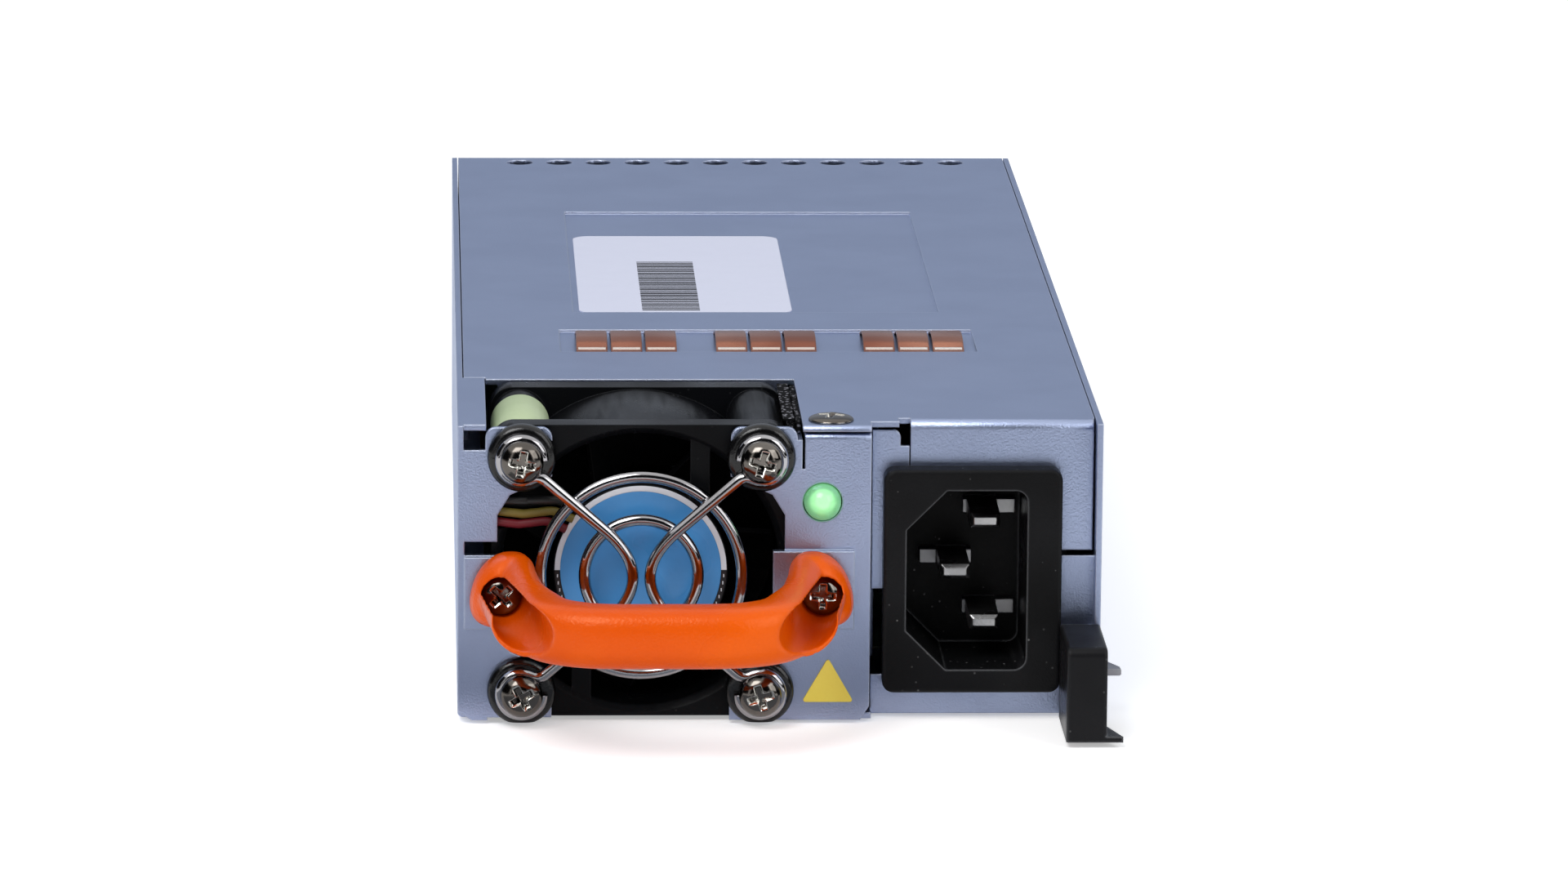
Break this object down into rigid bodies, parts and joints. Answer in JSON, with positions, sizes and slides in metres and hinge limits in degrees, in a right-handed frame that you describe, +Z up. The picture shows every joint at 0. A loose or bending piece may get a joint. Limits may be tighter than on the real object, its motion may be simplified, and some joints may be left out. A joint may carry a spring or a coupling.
{
  "type": "hot swap server power supply",
  "caption": "Flat sheet-metal server power supply module with a guarded fan, a bail pull handle, a mains inlet, a release lever and a rear contact tongue.",
  "frame": {"origin": "centre of the case's bottom face", "axes": "+X to the right seen from the front, +Y towards the rear contact tongue, +Z up"},
  "size_m": [0.0895, 0.234, 0.0415],
  "materials": {
    "case_steel": "zinc-plated sheet steel, satin, with fine rolling marks",
    "screw_steel": "zinc-plated screws",
    "dark_screw": "passivated screws",
    "fan_plastic": "black glass-filled plastic",
    "rotor_plastic": "black plastic",
    "shaft_steel": "ground steel",
    "magnet_ferrite": "bonded ferrite",
    "stator_iron": "laminated iron with enamelled wire",
    "hub_print": "blue and black film with a white ring, no text",
    "grommet_rubber": "black rubber",
    "guard_chrome": "bright nickel-chrome plated wire",
    "foam": "dark open-cell foam",
    "green_tape": "pale green adhesive tape",
    "lead_insulation": "yellow, red and black insulation",
    "handle_plastic": "orange moulded plastic, half-gloss",
    "lamp_green": "clear green lens",
    "inlet_plastic": "black moulded plastic",
    "contact_brass": "nickel-plated brass",
    "spring_steel": "hardened spring steel",
    "cap_plastic": "black moulded plastic",
    "finger_copper": "tinned beryllium copper, copper-pink and bright",
    "label_white": "plain white film",
    "sticker_yellow": "plain yellow film",
    "board_green": "green solder mask",
    "insulator_film": "dark insulating film",
    "contact_gold": "gold plating",
    "fuse_glass": "glass tube with plated caps",
    "capacitor_film": "yellow moulded box",
    "choke_wire": "ferrite ring with enamelled copper wire",
    "can_sleeve": "aluminium can in a dark sleeve",
    "ferrite_core": "sintered ferrite",
    "winding_tape": "yellow winding tape over copper",
    "heatsink_aluminium": "extruded aluminium",
    "transistor_black": "black epoxy",
    "mains_insulation": "brown, blue and green-yellow insulation"
  },
  "bodies": {
    "case": {"chassis": "case_steel", "top_cover": "case_steel", "front_bracket": "case_steel", "inlet_bracket": "case_steel", "rear_panel": "case_steel", "cover_screw": "dark_screw", "fan_frame": "fan_plastic", "fan_bearings": "shaft_steel", "fan_stator": "stator_iron", "hub_label": "hub_print", "fan_grommets": "grommet_rubber", "finger_guard": "guard_chrome", "fan_screws": "dark_screw", "foam_pad": "foam", "lead_tape": "green_tape", "fan_leads": "lead_insulation", "handle": "handle_plastic", "handle_screws": "screw_steel", "status_lamp": "lamp_green", "lamp_holder": "inlet_plastic", "inlet_housing": "inlet_plastic", "line_contact": "contact_brass", "neutral_contact": "contact_brass", "earth_contact": "contact_brass", "latch_anchor": "spring_steel", "latch_rivets": "screw_steel", "ground_fingers_left": "finger_copper", "ground_fingers_middle": "finger_copper", "ground_fingers_right": "finger_copper", "rating_label": "label_white", "triangle_sticker": "sticker_yellow", "main_board": "board_green", "insulating_sheet": "insulator_film", "control_board": "board_green", "standoffs": "contact_brass", "board_screws": "screw_steel", "contact_tongue": "board_green", "contact_pads": "contact_gold", "mains_fuse": "fuse_glass", "line_capacitor": "capacitor_film", "filter_choke": "choke_wire", "boost_choke": "choke_wire", "bulk_capacitor": "can_sleeve", "output_capacitors": "can_sleeve", "transformer_core": "ferrite_core", "transformer_winding": "winding_tape", "primary_heatsink": "heatsink_aluminium", "output_heatsink": "heatsink_aluminium", "power_transistors": "transistor_black", "mains_leads": "mains_insulation"},
    "rotor": {"fan_rotor": "rotor_plastic", "fan_shaft": "shaft_steel", "fan_magnet": "magnet_ferrite"},
    "latch": {"latch_leaf": "spring_steel", "lever_cap": "cap_plastic"}
  },
  "joints": [
    {"name": "fan_spin", "type": "hinge", "parent": "case", "child": "rotor", "pos_m": [-0.01866, -0.09, 0.0202], "axis": [0, 1, 0], "continuous": true},
    {"name": "latch_release", "type": "hinge", "parent": "case", "child": "latch", "pos_m": [0.04185, -0.037, 0.0066], "axis": [0, 0, -1], "range_deg": [0, 3.3], "stiffness_Nm_per_rad": 1.5}
  ]
}
